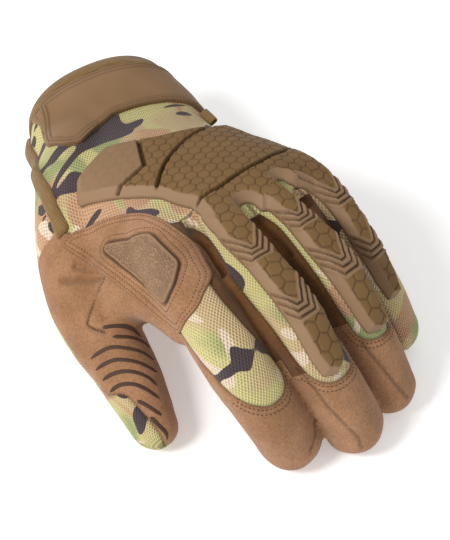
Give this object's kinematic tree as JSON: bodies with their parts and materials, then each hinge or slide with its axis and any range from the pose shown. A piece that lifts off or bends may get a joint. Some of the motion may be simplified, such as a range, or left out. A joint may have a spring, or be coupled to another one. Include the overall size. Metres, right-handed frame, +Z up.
{
  "type": "tactical glove",
  "caption": "Padded field glove for the left hand, camouflage back, suede palm and fingertips, and a ridged rubber knuckle guard, lying palm down.",
  "frame": {"origin": "bottom centre of the bounding box, with the glove lying palm down on its cuff and fingertips", "axes": "+Z up; -Y the way the fingers point; -X the thumb side"},
  "size_m": [0.1439, 0.2454, 0.0848],
  "materials": {
    "camouflage cloth": "matte",
    "brown suede": "matte",
    "brown rubber": "satin",
    "brown webbing": "matte"
  },
  "bodies": {
    "root": {"hand_back": "camouflage cloth", "cuff_under": "camouflage cloth", "palm": "brown suede", "index_back": "camouflage cloth", "middle_back": "camouflage cloth", "ring_back": "camouflage cloth", "pinky_back": "camouflage cloth", "thumb_back": "camouflage cloth", "thumb_front": "brown suede", "index_front": "brown suede", "middle_front": "brown suede", "ring_front": "brown suede", "pinky_front": "brown suede", "index_cap": "brown suede", "middle_cap": "brown suede", "ring_cap": "brown suede", "index_middle_fourchette": "brown suede", "middle_ring_fourchette": "brown suede", "ring_pinky_fourchette": "brown suede", "saddle_patch": "brown suede", "saddle_pad": "brown rubber", "knuckle_guard": "brown rubber", "cuff_binding": "brown webbing", "slit_binding": "brown webbing", "wrist_strap": "brown webbing", "strap_patch": "brown rubber", "strap_loop": "brown webbing"}
  },
  "joints": []
}
